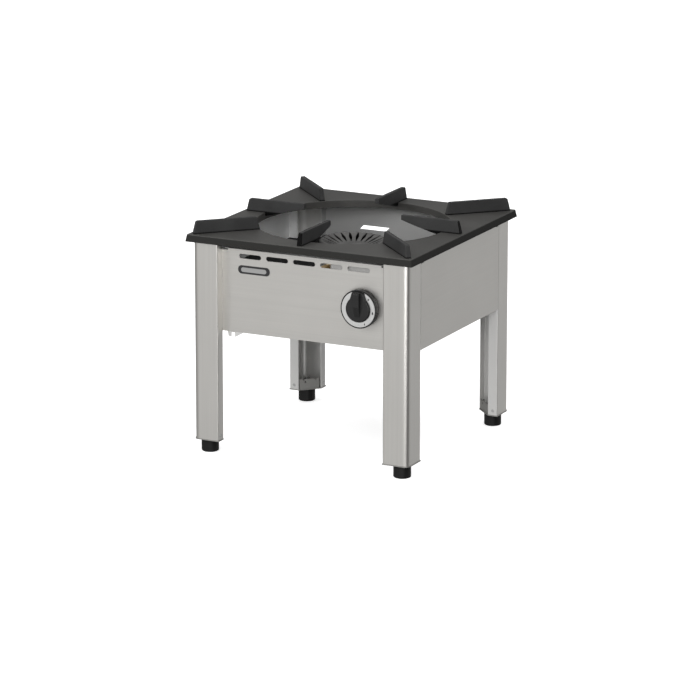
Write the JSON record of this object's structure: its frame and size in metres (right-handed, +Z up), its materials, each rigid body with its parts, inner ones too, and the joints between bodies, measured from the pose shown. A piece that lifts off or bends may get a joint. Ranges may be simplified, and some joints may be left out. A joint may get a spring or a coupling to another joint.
{
  "type": "stock pot range",
  "caption": "Low square free-standing gas stove with a central burner, lift-off cast top with radial pot rests, folded steel legs and a push-and-turn knob.",
  "frame": {"origin": "on the floor under the middle of the top", "axes": "+Z up; the front panel with the knob faces -Y; +X to the right as seen from the front"},
  "size_m": [0.5, 0.5, 0.476],
  "materials": {
    "body_steel": "brushed",
    "inner_steel": "mill",
    "fastener_steel": "zinc plated",
    "top_enamel": "satin enamel on cast iron",
    "rest_enamel": "satin enamel on cast iron",
    "deck_enamel": "black enamel on sheet steel",
    "burner_iron": "raw casting, sooted between its fins",
    "bowl_alloy": "raw light casting",
    "brass": "turned",
    "gas_pipe": "drawn tube",
    "thin_tube": "drawn copper tube",
    "foot_plastic": "matt",
    "knob_plastic": "satin",
    "dial_metal": "satin with printed marks",
    "badge_metal": "satin, blank"
  },
  "bodies": {
    "frame": {"leg_front_left": "body_steel", "leg_front_right": "body_steel", "leg_rear_right": "body_steel", "leg_rear_left": "body_steel", "foot_bracket_front_left": "body_steel", "foot_bracket_front_right": "body_steel", "foot_bracket_rear_right": "body_steel", "foot_bracket_rear_left": "body_steel", "foot_nuts": "fastener_steel", "foot_rivets": "fastener_steel", "side_panel_right": "body_steel", "side_panel_left": "body_steel", "rear_panel": "body_steel", "front_panel": "body_steel", "badge_plate": "badge_metal", "front_clip": "inner_steel", "burner_deck": "deck_enamel", "burner_bowl": "bowl_alloy", "burner_screws": "fastener_steel", "injector": "brass", "injector_bracket": "inner_steel", "tap_body": "brass", "tap_bonnet": "brass", "tap_screws": "fastener_steel", "gas_inlet": "brass", "inlet_plate": "inner_steel", "supply_pipe": "gas_pipe", "burner_pipe": "gas_pipe", "pipe_nuts": "brass", "pilot_bracket": "inner_steel", "pilot_burner": "brass", "pilot_pipe": "thin_tube", "flame_sensor": "thin_tube"},
    "top": {"top_plate": "top_enamel", "rest_screws": "fastener_steel", "pot_rest_right": "rest_enamel", "pot_rest_rear": "rest_enamel", "pot_rest_left": "rest_enamel", "pot_rest_front": "rest_enamel", "pot_rest_front_left": "rest_enamel", "pot_rest_front_right": "rest_enamel", "pot_rest_rear_right": "rest_enamel", "pot_rest_rear_left": "rest_enamel"},
    "burner_crown": {"burner_crown": "burner_iron"},
    "foot_front_left": {"foot_pad_front_left": "foot_plastic", "foot_stud_front_left": "fastener_steel"},
    "foot_front_right": {"foot_pad_front_right": "foot_plastic", "foot_stud_front_right": "fastener_steel"},
    "foot_rear_right": {"foot_pad_rear_right": "foot_plastic", "foot_stud_rear_right": "fastener_steel"},
    "foot_rear_left": {"foot_pad_rear_left": "foot_plastic", "foot_stud_rear_left": "fastener_steel"},
    "tap_plug": {"tap_plug": "brass"},
    "knob": {"knob": "knob_plastic", "knob_ring": "dial_metal", "tap_spindle": "fastener_steel"}
  },
  "joints": [
    {"name": "top_lift", "type": "slide", "parent": "frame", "child": "top", "axis": [0, 0, 1], "range_m": [0, 0.15]},
    {"name": "crown_lift", "type": "slide", "parent": "frame", "child": "burner_crown", "axis": [0, 0, 1], "range_m": [0, 0.06]},
    {"name": "knob_turn", "type": "hinge", "parent": "frame", "child": "tap_plug", "pos_m": [0.127, -0.2, 0.335], "axis": [0, -1, 0], "range_deg": [0, 160]},
    {"name": "knob_push", "type": "slide", "parent": "tap_plug", "child": "knob", "axis": [0, 1, 0], "range_m": [0, 0.004], "stiffness_N_per_m": 1500, "springref_m": -0.004},
    {"name": "foot_screw_front_left", "type": "slide", "parent": "frame", "child": "foot_front_left", "axis": [0, 0, -1], "range_m": [0, 0.012]},
    {"name": "foot_screw_front_right", "type": "slide", "parent": "frame", "child": "foot_front_right", "axis": [0, 0, -1], "range_m": [0, 0.012]},
    {"name": "foot_screw_rear_right", "type": "slide", "parent": "frame", "child": "foot_rear_right", "axis": [0, 0, -1], "range_m": [0, 0.012]},
    {"name": "foot_screw_rear_left", "type": "slide", "parent": "frame", "child": "foot_rear_left", "axis": [0, 0, -1], "range_m": [0, 0.012]}
  ]
}
